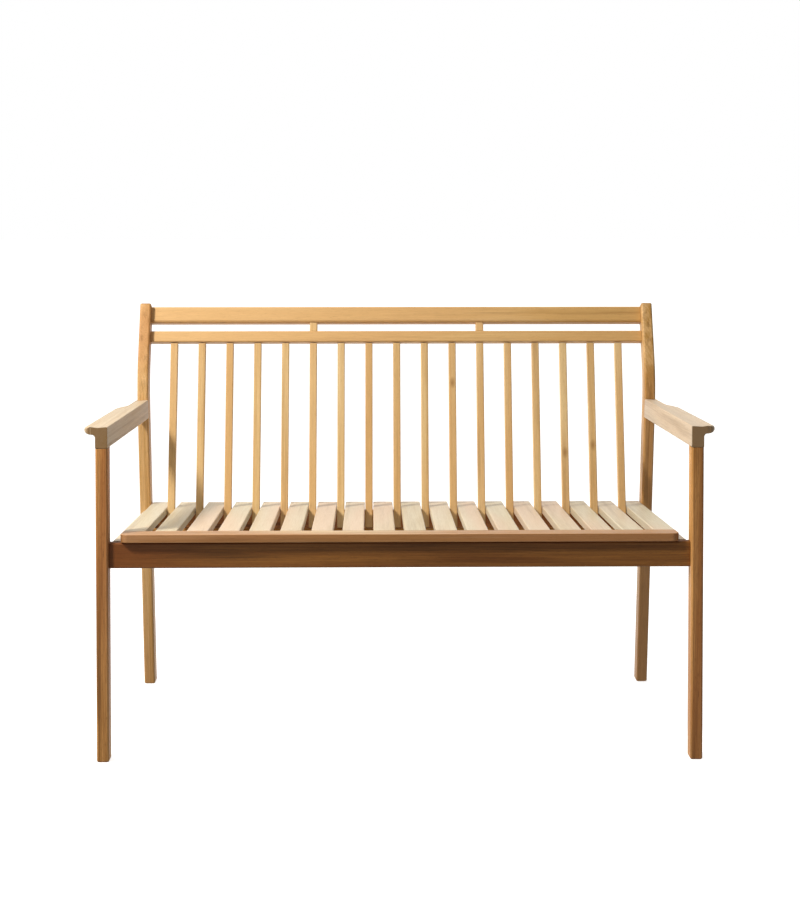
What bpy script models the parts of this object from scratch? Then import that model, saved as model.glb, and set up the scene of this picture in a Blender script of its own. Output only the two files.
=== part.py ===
"""Slatted hardwood garden bench for two people.

The bench is built from separate boards: two front legs, two sawn back posts, two moulded
arms, a seat frame, eighteen seat slats that run front to back behind one cross strip, and a
leaning back of two rails and seventeen square spindles.  Every spindle drops through the gap
between two seat slats and stands on a low rail of its own, clear of the slats.

Units are metres, +Z is up, +X is the bench's own left-to-right as seen from the front, and
the front faces -Y.  The origin is on the ground, in the middle of the bench.
"""

import math

import bmesh
import bpy
from mathutils import Matrix, Vector

# ---- driving dimensions ---------------------------------------------------------------------

DEPTH = 0.602                 # front of the legs to the back of the rear feet
JOINT_GAP = 0.0003            # clearance left where two boards meet
EDGE = 0.0022                 # eased edges of the larger boards
FINE_EDGE = 0.0016            # eased edges of the spindles and slats

LEG_OUTER_X = 0.587           # outer faces of the front legs, from the middle
LEG_WIDTH = 0.024
LEG_DEPTH = 0.036
ARM_UNDERSIDE = 0.6090        # height at which the arms sit on the front legs

POST_INNER_X = 0.5412         # inner faces of the back posts, from the middle
POST_WIDTH = 0.024
POST_DEPTH = 0.040            # measured square to the post
POST_FOOT_Y = 0.5615          # front of the rear foot, behind the front of the legs
POST_BEND_Y = 0.452           # front of the post at the bend
POST_BEND_Z = 0.690
POST_LEAN = math.radians(21)  # backward lean above the bend
POST_UPPER = 0.180            # length of the post above the bend
BEND_EASE = 0.055             # length taken by the curve on each side of the bend
BEND_STEPS = 8

SEAT_FRONT_Z = 0.4424         # top of the seat at its front edge
SEAT_SLOPE = math.radians(3)
SEAT_THICKNESS = 0.016
SLAT_COUNT = 18
SLAT_PITCH = 0.0611
SLAT_WIDTH = 0.0426
SLAT_END = 0.535              # rear ends of the slats, along the seat
STRIP_DEPTH = 0.054
STRIP_CORNER = 0.015
CORNER_STEPS = 5

APRON_FRONT_Y = 0.010
APRON_THICKNESS = 0.020
APRON_BOTTOM_Z = 0.375
SIDE_RAIL_OUTER_X = 0.5593
SIDE_RAIL_THICKNESS = 0.018
RAIL_THICKNESS = 0.022
RAIL_HEIGHT = 0.050
BEARER_HEIGHT = 0.038
FRONT_BEARER_Y = 0.043        # front faces of the rails under the slats, along the seat
MIDDLE_BEARER_Y = 0.128
SPINDLE_RAIL_Y = 0.416
REAR_RAIL_Y = 0.502

BACK_SETBACK = 0.016          # rails behind the front of the posts
CREST_LOW, CREST_HIGH = 0.1404, 0.1764     # along the post, from the bend
CREST_THICKNESS = 0.024
BACK_RAIL_LOW, BACK_RAIL_HIGH = 0.0957, 0.1207
BACK_RAIL_THICKNESS = 0.020
SPINDLE_SIDE = 0.016
SPINDLE_FOOT_Y = 0.4265       # front of the spindles where they cross the seat's top
SPINDLE_DROP = 0.044          # their feet below the top of the seat
SPINDLE_RECESS = 0.003        # spindles behind the front of the rail they enter
SPACER_WIDTH = 0.017
SPACER_DEPTH = 0.016
SPACER_PLACES = (-3, 3)       # in spindle pitches from the middle

ARM_HEIGHT = 0.0414
ARM_WIDTH = 0.024
LIP_FRONT, LIP_REAR = 0.023, 0.020         # overhang of the arm's outer lip
LIP_TURN_START, LIP_TURN_END = 0.300, 0.365
LIP_LEAST = 0.0006
NOSE = 0.014                  # round of the lip's front corner, seen from above
LIP_THICKNESS = 0.0156
LIP_RISE = 0.0012             # outer edge of the lip above the block's top
DISH = 0.0030                 # hollow of the arm's top
COVE = 0.010

BOLT_HEAD_RADIUS = 0.0065
BOLT_HEAD_DEPTH = 0.004
BOLT_RADIUS = 0.0035
BOLT_LENGTH = 0.052
BOLT_SINK = 0.001             # bolt heads below the face of the leg
BOLT_SIDES = 16
FRONT_BOLT_Z = 0.400
REAR_BOLT_ALONG, REAR_BOLT_DROP = 0.513, 0.041

# ---- worked-out places ----------------------------------------------------------------------

FRONT_Y = -DEPTH / 2
LEG_INNER_X = LEG_OUTER_X - LEG_WIDTH
POST_RAKE = math.atan2(POST_FOOT_Y - POST_BEND_Y, POST_BEND_Z)
SEAT_PIVOT = Vector((0, FRONT_Y, SEAT_FRONT_Z))
SEAT_TURN = Matrix.Rotation(-SEAT_SLOPE, 3, "X")
SEAT_HALF_WIDTH = ((SLAT_COUNT - 1) * SLAT_PITCH + SLAT_WIDTH) / 2
SIDE_RAIL_INNER_X = SIDE_RAIL_OUTER_X - SIDE_RAIL_THICKNESS
UNDER_SLATS = -SEAT_THICKNESS - JOINT_GAP

TEAK_COLOURS = {
    "frame": (0.36, 0.20, 0.095),
    "seat": (0.66, 0.50, 0.35),
    "back": (0.52, 0.33, 0.16),
    "arm": (0.58, 0.41, 0.26),
}
STEEL_COLOUR = (0.55, 0.55, 0.53)


# ---- helpers --------------------------------------------------------------------------------

def material(name, colour, roughness, metallic=0.0):
    """A plain Principled material, made once and then reused."""
    found = bpy.data.materials.get(name)
    if found:
        return found
    made = bpy.data.materials.new(name)
    made.use_nodes = True
    shader = made.node_tree.nodes["Principled BSDF"]
    shader.inputs["Base Color"].default_value = (*colour, 1.0)
    shader.inputs["Roughness"].default_value = roughness
    shader.inputs["Metallic"].default_value = metallic
    made.diffuse_color = (*colour, 1.0)
    return made


def teak(kind):
    return material("teak_" + kind, TEAK_COLOURS[kind], 0.6)


def finish_mesh(name, bm, surface, edge=0.0):
    """Turn a closed bmesh into a named object with eased edges."""
    bmesh.ops.recalc_face_normals(bm, faces=bm.faces)
    mesh = bpy.data.meshes.new(name)
    bm.to_mesh(mesh)
    bm.free()
    piece = bpy.data.objects.new(name, mesh)
    bpy.context.collection.objects.link(piece)
    mesh.materials.append(surface)
    if edge:
        ease = piece.modifiers.new("eased_edges", "BEVEL")
        ease.width = edge
        ease.segments = 1
        ease.limit_method = "ANGLE"
        ease.angle_limit = math.radians(30)
    return piece


def loft(name, sections, surface, edge=0.0):
    """Join equal rings of points into one closed body."""
    bm = bmesh.new()
    rings = [[bm.verts.new(point) for point in ring] for ring in sections]
    bm.faces.new(rings[0])
    bm.faces.new(rings[-1])
    count = len(rings[0])
    for near, far in zip(rings, rings[1:]):
        for i in range(count):
            j = (i + 1) % count
            bm.faces.new((near[i], near[j], far[j], far[i]))
    return finish_mesh(name, bm, surface, edge)


def block(name, low, high, surface, edge=0.0):
    """A square-cut board between two corners."""
    ring = [(low[1], low[2]), (high[1], low[2]), (high[1], high[2]), (low[1], high[2])]
    sections = [[(x, y, z) for y, z in ring] for x in (low[0], high[0])]
    return loft(name, sections, surface, edge)


def seat_board(name, low, high, surface, edge=0.0):
    """A board in the seat's own sloping frame: X across, Y along the seat, Z off its top."""
    piece = block(name, low, high, surface, edge)
    piece.location = SEAT_PIVOT
    piece.rotation_euler.x = -SEAT_SLOPE
    return piece


def seat_point(x, along, off):
    """World place of a point given in the seat's frame."""
    return SEAT_PIVOT + SEAT_TURN @ Vector((x, along, off))


def post_front_y(z):
    """Front of the straight lower stretch of a back post at height z."""
    return FRONT_Y + POST_FOOT_Y - math.tan(POST_RAKE) * z


def back_point(x, along, behind):
    """World place on the leaning stretch: along the post from its bend, behind its front."""
    y = FRONT_Y + POST_BEND_Y + math.sin(POST_LEAN) * along + math.cos(POST_LEAN) * behind
    z = POST_BEND_Z + math.cos(POST_LEAN) * along - math.sin(POST_LEAN) * behind
    return Vector((x, y, z))


def stepped_bar(name, steps, y, z, surface):
    """A turned bar along X: steps are (x, radius) pairs, as a bolt or as the hole for one."""
    sections = []
    for x, radius in steps:
        ring = []
        for i in range(BOLT_SIDES):
            turn = 2 * math.pi * i / BOLT_SIDES
            ring.append((x, y + radius * math.cos(turn), z + radius * math.sin(turn)))
        sections.append(ring)
    return loft(name, sections, surface)


def cut(piece, cutter):
    """Bore a piece with a hidden cutter."""
    cutter.hide_render = True
    cutter.display_type = "WIRE"
    bore = piece.modifiers.new("bore_" + cutter.name, "BOOLEAN")
    bore.operation = "DIFFERENCE"
    bore.solver = "EXACT"
    bore.object = cutter


# ---- legs and posts -------------------------------------------------------------------------

def make_front_leg(side, name):
    low_x, high_x = sorted((side * LEG_INNER_X, side * LEG_OUTER_X))
    low = (low_x, FRONT_Y, 0.0)
    high = (high_x, FRONT_Y + LEG_DEPTH, ARM_UNDERSIDE - JOINT_GAP)
    return block(name, low, high, teak("frame"), EDGE)


def bend_curve(offset):
    """Points round the post's bend on a line set `offset` behind its front."""
    lower = Vector((-math.sin(POST_RAKE), math.cos(POST_RAKE)))
    upper = Vector((math.sin(POST_LEAN), math.cos(POST_LEAN)))
    bend = Vector((FRONT_Y + POST_BEND_Y, POST_BEND_Z))
    points = []
    for i in range(BEND_STEPS + 1):
        t = i / BEND_STEPS
        place = bend - lower * BEND_EASE * (1 - t) ** 2 + upper * BEND_EASE * t ** 2
        along = (lower * (1 - t) + upper * t).normalized()
        points.append(place + Vector((along.y, -along.x)) * offset)
    return points


def post_outline():
    """Side view of a back post as (y, z) points, front edge up and back edge down."""
    foot_depth = POST_DEPTH / math.cos(POST_RAKE)
    foot_y = FRONT_Y + POST_FOOT_Y
    top_front = back_point(0, POST_UPPER, 0)
    top_back = back_point(0, POST_UPPER, POST_DEPTH)
    outline = [Vector((foot_y, 0))]
    outline += bend_curve(0)
    outline += [Vector((top_front.y, top_front.z)), Vector((top_back.y, top_back.z))]
    outline += reversed(bend_curve(POST_DEPTH))
    outline.append(Vector((foot_y + foot_depth, 0)))
    return outline


def make_back_post(side, name):
    outline = post_outline()
    ends = (side * POST_INNER_X, side * (POST_INNER_X + POST_WIDTH))
    sections = [[(x, y, z) for y, z in outline] for x in ends]
    return loft(name, sections, teak("frame"), EDGE)


# ---- arms -----------------------------------------------------------------------------------

def lip_width(y):
    """Overhang of the arm's lip behind the front: a round nose, broad, then a soft S."""
    straight = LIP_FRONT + (LIP_REAR - LIP_FRONT) * min(y / LIP_TURN_START, 1)
    if y < NOSE:
        straight -= NOSE - math.sqrt(NOSE ** 2 - (NOSE - y) ** 2)
    t = min(max((y - LIP_TURN_START) / (LIP_TURN_END - LIP_TURN_START), 0), 1)
    ease = t * t * (3 - 2 * t)
    return straight * (1 - ease) + LIP_LEAST * ease


def arm_section(y):
    """Outline of the arm as (out, up): out from the inner face, up from the underside."""
    lip = lip_width(y)
    part = lip / LIP_FRONT
    top = ARM_HEIGHT
    tip = ARM_WIDTH + lip
    lip_top = top + LIP_RISE * part
    lip_low = lip_top - LIP_THICKNESS
    cove = COVE * part + LIP_LEAST
    points = [(0, 0), (ARM_WIDTH, 0)]
    for i in range(CORNER_STEPS):
        turn = math.pi / 2 * i / (CORNER_STEPS - 1)
        out = ARM_WIDTH + cove * (1 - math.cos(turn))
        points.append((out, lip_low - cove * (1 - math.sin(turn))))
    points += [
        (tip - 0.25 * lip, lip_low + 0.0008 * part),
        (tip, lip_low + 0.35 * LIP_THICKNESS),
        (tip, lip_top - 0.25 * LIP_THICKNESS),
        (tip - 0.16 * lip, lip_top),
        (ARM_WIDTH + 0.3 * lip, top - DISH * 0.4 * part),
        (ARM_WIDTH * 0.6, top - DISH),
        (0.004, top),
        (0, top - 0.002),
    ]
    return points


def make_arm(side, name):
    run = POST_BEND_Y
    toe_in = LEG_INNER_X - POST_INNER_X
    turn_steps = 7
    turn = LIP_TURN_END - LIP_TURN_START
    stations = [NOSE * (1 - math.cos(math.pi / 2 * i / 4)) for i in range(5)]
    stations += [0.1, 0.2]
    stations += [LIP_TURN_START + turn * i / (turn_steps - 1) for i in range(turn_steps)]
    stations.append(0.41)
    sections = []
    for y in stations:
        inner = LEG_INNER_X - toe_in * y / run
        ring = [(side * (inner + out), FRONT_Y + y, ARM_UNDERSIDE + up)
                for out, up in arm_section(y)]
        sections.append(ring)
    ring = []
    for out, up in arm_section(run):
        z = ARM_UNDERSIDE + up
        ring.append((side * (POST_INNER_X + out), post_front_y(z) - JOINT_GAP * 1.2, z))
    sections.append(ring)
    return loft(name, sections, teak("arm"))


# ---- seat -----------------------------------------------------------------------------------

def make_strip():
    """The cross strip along the front of the seat, its front corners rounded in plan."""
    half = SEAT_HALF_WIDTH
    outline = [(half, STRIP_DEPTH)]
    outline.append((-half, STRIP_DEPTH))
    for sign in (-1, 1):
        arc = []
        for i in range(CORNER_STEPS):
            turn = math.pi / 2 * i / (CORNER_STEPS - 1)
            x = half - STRIP_CORNER * (1 - math.cos(turn))
            arc.append((sign * x, STRIP_CORNER * (1 - math.sin(turn))))
        outline += arc if sign < 0 else reversed(arc)
    sections = [[(x, y, z) for x, y in outline] for z in (-SEAT_THICKNESS, 0)]
    strip = loft("seat_front_strip", sections, teak("seat"), FINE_EDGE)
    strip.location = SEAT_PIVOT
    strip.rotation_euler.x = -SEAT_SLOPE
    return strip


def make_slats():
    for i in range(SLAT_COUNT):
        middle = (i - (SLAT_COUNT - 1) / 2) * SLAT_PITCH
        low = (middle - SLAT_WIDTH / 2, STRIP_DEPTH + JOINT_GAP, -SEAT_THICKNESS)
        high = (middle + SLAT_WIDTH / 2, SLAT_END, 0)
        seat_board(f"seat_slat_{i + 1:02d}", low, high, teak("seat"), FINE_EDGE)


def make_apron():
    """The upright board between the front legs, just under the strip."""
    back_y = APRON_FRONT_Y + APRON_THICKNESS
    underside = seat_point(0, back_y / math.cos(SEAT_SLOPE), UNDER_SLATS).z
    low = (-LEG_INNER_X + JOINT_GAP, FRONT_Y + APRON_FRONT_Y, APRON_BOTTOM_Z)
    high = (LEG_INNER_X - JOINT_GAP, FRONT_Y + back_y, underside - JOINT_GAP)
    return block("front_apron", low, high, teak("frame"), EDGE)


def meets_post(off):
    """How far along the seat a line set off from its top runs before it meets the posts."""
    slope = math.tan(POST_RAKE)
    reach = POST_FOOT_Y - JOINT_GAP - slope * (SEAT_FRONT_Z + off * math.cos(SEAT_SLOPE))
    reach -= off * math.sin(SEAT_SLOPE)
    return reach / (math.cos(SEAT_SLOPE) - slope * math.sin(SEAT_SLOPE))


def make_side_rail(side, name):
    """A rail along the side of the seat, its rear end cut to the rake of the post."""
    top, bottom = UNDER_SLATS, UNDER_SLATS - RAIL_HEIGHT
    front = (APRON_FRONT_Y + APRON_THICKNESS) / math.cos(SEAT_SLOPE) + JOINT_GAP
    front += -bottom * math.tan(SEAT_SLOPE)
    corners = ((front, bottom), (meets_post(bottom), bottom), (meets_post(top), top), (front, top))
    sections = [[seat_point(side * x, along, off) for along, off in corners]
                for x in (SIDE_RAIL_INNER_X, SIDE_RAIL_OUTER_X)]
    return loft(name, sections, teak("frame"), EDGE)


def make_cross_rail(name, front, height, half_width, top=UNDER_SLATS):
    low = (-half_width, front, top - height)
    high = (half_width, front + RAIL_THICKNESS, top)
    return seat_board(name, low, high, teak("frame"), EDGE)


# ---- back -----------------------------------------------------------------------------------

def leaning_bar(name, x_low, x_high, along_low, along_high, behind, thickness, surface, edge):
    """A bar square to the leaning stretch of the posts."""
    corners = ((along_low, behind), (along_low, behind + thickness),
               (along_high, behind + thickness), (along_high, behind))
    sections = [[back_point(x, along, back) for along, back in corners]
                for x in (x_low, x_high)]
    return loft(name, sections, surface, edge)


def make_back_rails():
    reach = POST_INNER_X - JOINT_GAP
    leaning_bar("crest_rail", -reach, reach, CREST_LOW, CREST_HIGH,
                BACK_SETBACK, CREST_THICKNESS, teak("back"), EDGE)
    leaning_bar("back_rail", -reach, reach, BACK_RAIL_LOW, BACK_RAIL_HIGH,
                BACK_SETBACK, BACK_RAIL_THICKNESS, teak("back"), EDGE)


def make_spacers():
    behind = BACK_SETBACK + (BACK_RAIL_THICKNESS - SPACER_DEPTH) / 2
    for number, place in enumerate(SPACER_PLACES, 1):
        x = place * SLAT_PITCH
        leaning_bar(f"back_spacer_{number}", x - SPACER_WIDTH / 2, x + SPACER_WIDTH / 2,
                    BACK_RAIL_HIGH + JOINT_GAP, CREST_LOW - JOINT_GAP,
                    behind, SPACER_DEPTH, teak("back"), FINE_EDGE)


def spindle_ring(x, front, back):
    half = SPINDLE_SIDE / 2
    return [
        (x - half, front.y, front.z),
        (x + half, front.y, front.z),
        (x + half, back.y, back.z),
        (x - half, back.y, back.z),
    ]


def make_spindles():
    """Square spindles from the low rail under the seat up to the underside of the back rail."""
    under_rail = BACK_RAIL_LOW - JOINT_GAP
    top_front = back_point(0, under_rail, BACK_SETBACK + SPINDLE_RECESS)
    foot = seat_point(0, SPINDLE_FOOT_Y, 0)
    lean = (top_front - foot).normalized()
    square = Vector((0, lean.z, -lean.y))
    drop = SEAT_TURN @ Vector((0, 0, 1))
    along_seat = SEAT_TURN @ Vector((0, 1, 0))
    rail_slope = Vector((0, math.cos(POST_LEAN), -math.sin(POST_LEAN)))
    depth_at_top = SPINDLE_SIDE / rail_slope.dot(square)
    depth_at_foot = SPINDLE_SIDE / along_seat.dot(square)
    foot_front = foot - lean * (SPINDLE_DROP / lean.dot(drop))
    for i in range(SLAT_COUNT - 1):
        x = (i - (SLAT_COUNT - 2) / 2) * SLAT_PITCH
        low = spindle_ring(x, foot_front, foot_front + along_seat * depth_at_foot)
        high = spindle_ring(x, top_front, top_front + rail_slope * depth_at_top)
        loft(f"back_spindle_{i + 1:02d}", [low, high], teak("back"), FINE_EDGE)


# ---- bolts ----------------------------------------------------------------------------------

def make_bolt(side, name, outer_x, y, z, pieces):
    """A socket-headed bolt through a leg into the end of a rail, and the holes it needs."""
    head_face = outer_x - BOLT_SINK
    head_base = head_face - BOLT_HEAD_DEPTH
    tip = head_face - BOLT_LENGTH
    gap = JOINT_GAP
    bolt_steps = [(head_face, BOLT_HEAD_RADIUS), (head_base, BOLT_HEAD_RADIUS),
                  (head_base, BOLT_RADIUS), (tip, BOLT_RADIUS)]
    hole_steps = [(outer_x + 0.01, BOLT_HEAD_RADIUS + gap), (head_base - gap, BOLT_HEAD_RADIUS + gap),
                  (head_base - gap, BOLT_RADIUS + gap), (tip - 0.002, BOLT_RADIUS + gap)]
    steel = material("stainless_bolt", STEEL_COLOUR, 0.35, 1.0)
    stepped_bar(name, [(side * x, r) for x, r in bolt_steps], y, z, steel)
    cutter = stepped_bar("bore_" + name, [(side * x, r) for x, r in hole_steps], y, z, steel)
    for piece in pieces:
        cut(piece, cutter)


# ---- build ----------------------------------------------------------------------------------

def main():
    for old in list(bpy.data.objects):
        bpy.data.objects.remove(old, do_unlink=True)
    sides = ((-1, "left"), (1, "right"))
    legs = {side: make_front_leg(side, "front_leg_" + word) for side, word in sides}
    posts = {side: make_back_post(side, "back_post_" + word) for side, word in sides}
    for side, word in sides:
        make_arm(side, "arm_" + word)
        make_side_rail(side, "seat_side_rail_" + word)
    apron = make_apron()
    make_strip()
    make_slats()
    inside = SIDE_RAIL_INNER_X - JOINT_GAP
    make_cross_rail("seat_front_bearer", FRONT_BEARER_Y, BEARER_HEIGHT, inside)
    make_cross_rail("seat_middle_bearer", MIDDLE_BEARER_Y, BEARER_HEIGHT, inside)
    under_spindles = -SPINDLE_DROP - JOINT_GAP
    make_cross_rail("spindle_rail", SPINDLE_RAIL_Y, under_spindles - UNDER_SLATS + RAIL_HEIGHT,
                    inside, under_spindles)
    rear_rail = make_cross_rail("seat_rear_rail", REAR_RAIL_Y, RAIL_HEIGHT, POST_INNER_X - JOINT_GAP)
    make_back_rails()
    make_spacers()
    make_spindles()
    apron_y = FRONT_Y + APRON_FRONT_Y + APRON_THICKNESS / 2
    rear = seat_point(0, REAR_BOLT_ALONG, -REAR_BOLT_DROP)
    for side, word in sides:
        make_bolt(side, "front_bolt_" + word, LEG_OUTER_X, apron_y, FRONT_BOLT_Z,
                  (legs[side], apron))
        make_bolt(side, "rear_bolt_" + word, POST_INNER_X + POST_WIDTH, rear.y, rear.z,
                  (posts[side], rear_rail))


main()
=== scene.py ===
"""Finished looks of the slatted teak garden bench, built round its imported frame.

Units are metres, +Z is up and the front of the bench faces -Y.  Every board is made afresh in
the place that the frame gives it, with eased edges, its grain running along its length, and a
tone of its own.
"""

import math
import random
from functools import partial

import bmesh
import bpy
from mathutils import Matrix, Vector


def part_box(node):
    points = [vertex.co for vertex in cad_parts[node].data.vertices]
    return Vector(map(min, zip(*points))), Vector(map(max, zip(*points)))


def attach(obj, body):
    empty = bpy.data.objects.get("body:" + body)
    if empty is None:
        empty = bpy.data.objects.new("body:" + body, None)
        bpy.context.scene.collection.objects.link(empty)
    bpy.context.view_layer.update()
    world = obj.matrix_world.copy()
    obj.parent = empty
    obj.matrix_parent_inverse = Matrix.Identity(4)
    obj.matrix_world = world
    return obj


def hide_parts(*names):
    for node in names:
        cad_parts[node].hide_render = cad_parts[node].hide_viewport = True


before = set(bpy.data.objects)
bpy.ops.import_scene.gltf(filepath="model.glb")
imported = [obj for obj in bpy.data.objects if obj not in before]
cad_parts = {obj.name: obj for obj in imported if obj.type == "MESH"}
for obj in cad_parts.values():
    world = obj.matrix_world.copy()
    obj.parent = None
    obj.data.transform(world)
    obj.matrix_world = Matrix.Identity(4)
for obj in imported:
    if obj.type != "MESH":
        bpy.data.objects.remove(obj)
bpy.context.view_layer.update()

# ---- the bench's own sizes ------------------------------------------------------------------

JOINT_GAP = 0.0003
SEAT_SLOPE = math.radians(3)          # the seat falls towards the back
BACK_LEAN = math.radians(21)          # upper posts and the two back rails
EASED = 0.0030                        # rounded long edges of the rails
LEG_EASED = 0.0045                    # legs and posts are rounder to the hand
CREST_UNDER_EASED = 0.0065            # and so is the underside of the crest rail
STRIP_EASED = 0.0016
SLAT_EASED = 0.0026
SPINDLE_EASED = 0.0022
FOOT_EASED = 0.0035
SAWN_END = 0.0004                     # ends that butt against another board
ARM_END_EASED = 0.0012
EASE_STEPS = 4

SLATS = 18
SPINDLES = 17
PITCH = 0.0611                        # from slat to slat, and from spindle to spindle
SPINDLE_SIDE = 0.016
STRIP_CORNER = 0.015                  # round of the strip's front corners, seen from above
STRIP_REAR_CORNER = 0.0012
BOLT_HOLE_RADIUS, BOLT_HOLE_DEPTH = 0.0068, 0.0053

FOOT_SETBACK = 0.5615                 # rear foot behind the front of the legs
BEND_SETBACK = 0.452                  # the post's bend behind the front of the legs
BEND_HEIGHT = 0.690
POST_UPPER = 0.180                    # length of the post above its bend
POST_DEPTH = 0.040
BEND_EASE = 0.055
POST_RAKE = math.atan2(FOOT_SETBACK - BEND_SETBACK, BEND_HEIGHT)

ARM_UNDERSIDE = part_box("arm_left")[0].z
ARM_HEIGHT = 0.0414
ARM_WIDTH = 0.024
LIP_FRONT, LIP_REAR, LIP_LEAST = 0.023, 0.020, 0.0006
NOSE = 0.014                          # round of the lip's front corner, seen from above
LIP_TURN_START, LIP_TURN_END = 0.300, 0.365
LIP_THICKNESS = 0.0156
LIP_RISE = 0.0012
DISH = 0.0013
COVE = 0.012

FRONT_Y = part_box("front_leg_left")[0].y
FAR_OFF = (50.0, 50.0, 50.0)          # a knot's place on a board that has none


def leaning_axes(turn):
    """Directions of a board that runs across the bench and is tipped back by a turn."""
    up = Vector((0, math.sin(turn), math.cos(turn)))
    back = Vector((0, math.cos(turn), -math.sin(turn)))
    return Matrix((Vector((1, 0, 0)), up, back)).transposed()


UPRIGHT = Matrix(((0, 0, 1), (0, 1, 0), (1, 0, 0))).transposed()
CROSSWISE = leaning_axes(0)
BACK_AXES = leaning_axes(BACK_LEAN)
SEAT_AXES = leaning_axes(SEAT_SLOPE)
SEAT_ALONG = SEAT_AXES.col[2]
SEAT_UP = SEAT_AXES.col[1]
ALONG_SEAT_AXES = Matrix((SEAT_ALONG, SEAT_UP, Vector((1, 0, 0)))).transposed()
chance = random.Random(11)


# ---- camera, floor and light ----------------------------------------------------------------

def linear(hex_colour):
    """An sRGB hex colour as linear red, green, blue and full opacity."""
    channels = [int(hex_colour[i:i + 2], 16) / 255 for i in (1, 3, 5)]
    lit = [c / 12.92 if c <= 0.04045 else ((c + 0.055) / 1.055) ** 2.4 for c in channels]
    return (*lit, 1.0)


def node(tree, kind, inputs=None, out=None, **settings):
    """Add a node with its settings, and give its inputs their values or links.

    Returns the node, or one of its outputs where out names or numbers it.
    """
    made = tree.nodes.new(kind)
    for key, value in settings.items():
        setattr(made, key, value)
    for key, value in (inputs or {}).items():
        if isinstance(value, bpy.types.NodeSocket):
            tree.links.new(value, made.inputs[key])
        else:
            made.inputs[key].default_value = value
    return made if out is None else made.outputs[out]


def make_camera():
    data = bpy.data.cameras.new("camera")
    data.lens = 70.15
    data.shift_y = -0.2275
    camera = bpy.data.objects.new("camera", data)
    camera.location = (-0.0575, -3.751, 1.096)
    camera.rotation_euler = (math.radians(88.2), 0, math.radians(-0.94))
    bpy.context.collection.objects.link(camera)
    bpy.context.scene.camera = camera


def make_floor():
    """A wide, pale, plain studio floor."""
    mesh = bpy.data.meshes.new("studio_floor")
    bm = bmesh.new()
    bmesh.ops.create_grid(bm, x_segments=1, y_segments=1, size=40)
    bm.to_mesh(mesh)
    bm.free()
    floor = bpy.data.objects.new("studio_floor", mesh)
    bpy.context.collection.objects.link(floor)
    surface = bpy.data.materials.new("studio_floor_paint")
    surface.use_nodes = True
    shader = surface.node_tree.nodes["Principled BSDF"]
    shader.inputs["Base Color"].default_value = linear("#c8c7c5")
    shader.inputs["Roughness"].default_value = 0.9
    shader.inputs["Emission Color"].default_value = linear("#ffffff")
    shader.inputs["Emission Strength"].default_value = 0.80
    mesh.materials.append(surface)
    floor.visible_diffuse = False


def area_light(name, place, aim, size, power, colour):
    data = bpy.data.lights.new(name, "AREA")
    data.shape = "DISK"
    data.size = size
    data.energy = power
    data.color = linear(colour)[:3]
    light = bpy.data.objects.new(name, data)
    light.location = place
    light.rotation_euler = (Vector(aim) - Vector(place)).to_track_quat("-Z", "Y").to_euler()
    bpy.context.collection.objects.link(light)


def make_light():
    """A white studio: bright behind and above, a small key high on the left."""
    world = bpy.data.worlds.new("studio")
    world.use_nodes = True
    bpy.context.scene.world = world
    tree = world.node_tree
    tree.nodes.clear()
    add = partial(node, tree)
    heading = add("ShaderNodeTexCoord", out="Generated")
    towards = Vector((-0.50, 0.66, 0.56)).normalized()
    facing = add("ShaderNodeVectorMath", {0: heading, 1: towards}, out="Value",
                 operation="DOT_PRODUCT")
    glow = add("ShaderNodeMapRange",
               {"Value": facing, "From Min": -0.55, "From Max": 0.70,
                "To Min": 0.07, "To Max": 0.92}, out="Result", interpolation_type="SMOOTHSTEP")
    height = add("ShaderNodeSeparateXYZ", {0: heading}, out="Z")
    bounce = add("ShaderNodeMapRange",
                 {"Value": height, "From Min": 0.0, "From Max": -0.5,
                  "To Min": 0.0, "To Max": 0.34}, out="Result")
    strength = add("ShaderNodeMath", {0: glow, 1: bounce}, out=0, operation="ADD")
    room = add("ShaderNodeBackground", {"Color": linear("#fbfaf8"), "Strength": strength}, out=0)
    paper = add("ShaderNodeBackground", {"Color": linear("#ffffff"), "Strength": 1.0}, out=0)
    seen = add("ShaderNodeLightPath", out="Is Camera Ray")
    both = add("ShaderNodeMixShader", {0: seen, 1: room, 2: paper}, out=0)
    add("ShaderNodeOutputWorld", {"Surface": both})
    area_light("key_high_left", (-1.65, -1.15, 2.25), (0.0, 0.0, 0.45), 0.34, 64, "#fffaf2")
    area_light("top_soft", (-0.6, 0.9, 2.9), (0.0, 0.0, 0.4), 2.0, 14, "#ffffff")
    bpy.context.scene.view_settings.view_transform = "Standard"


# ---- surfaces -------------------------------------------------------------------------------

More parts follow.
